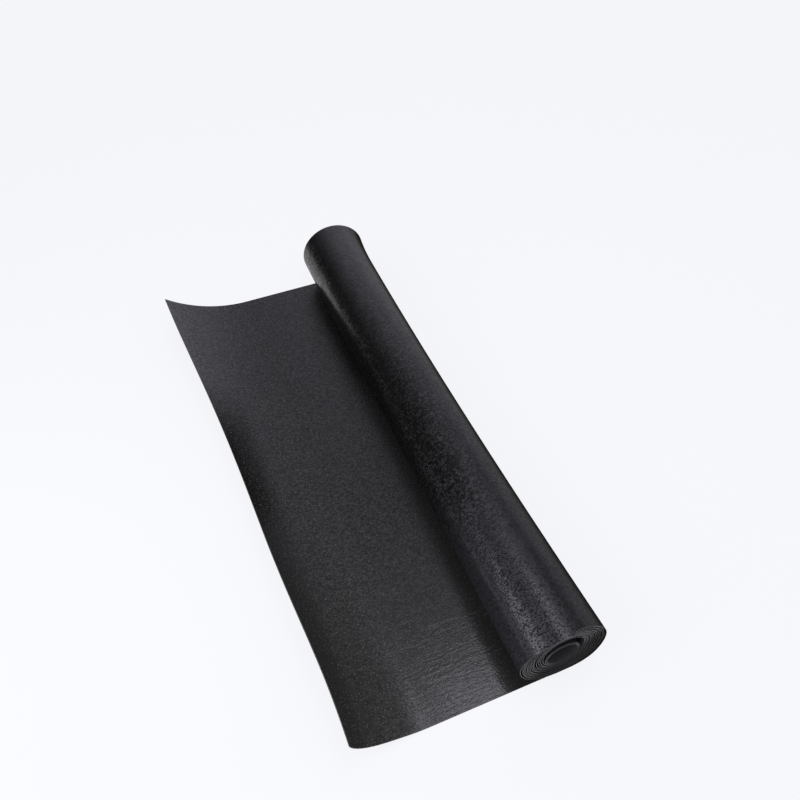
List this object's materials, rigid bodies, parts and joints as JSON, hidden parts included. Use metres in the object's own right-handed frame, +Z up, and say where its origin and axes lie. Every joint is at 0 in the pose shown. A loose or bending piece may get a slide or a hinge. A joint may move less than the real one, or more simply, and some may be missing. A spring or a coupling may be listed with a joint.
{
  "type": "roll of roofing felt",
  "caption": "Roll of black bituminous roofing felt with an open bore, its first stretch unrolled flat and curling up at the free end.",
  "frame": {"origin": "on the floor, under the middle of the roll and its laid-out end", "axes": "+Y along the roll, from its near end to its far end; +Z up; the felt is laid out towards -X"},
  "size_m": [0.4403, 1, 0.13],
  "materials": {
    "felt": "matte"
  },
  "bodies": {
    "root": {"felt_roll": "felt"}
  },
  "joints": []
}
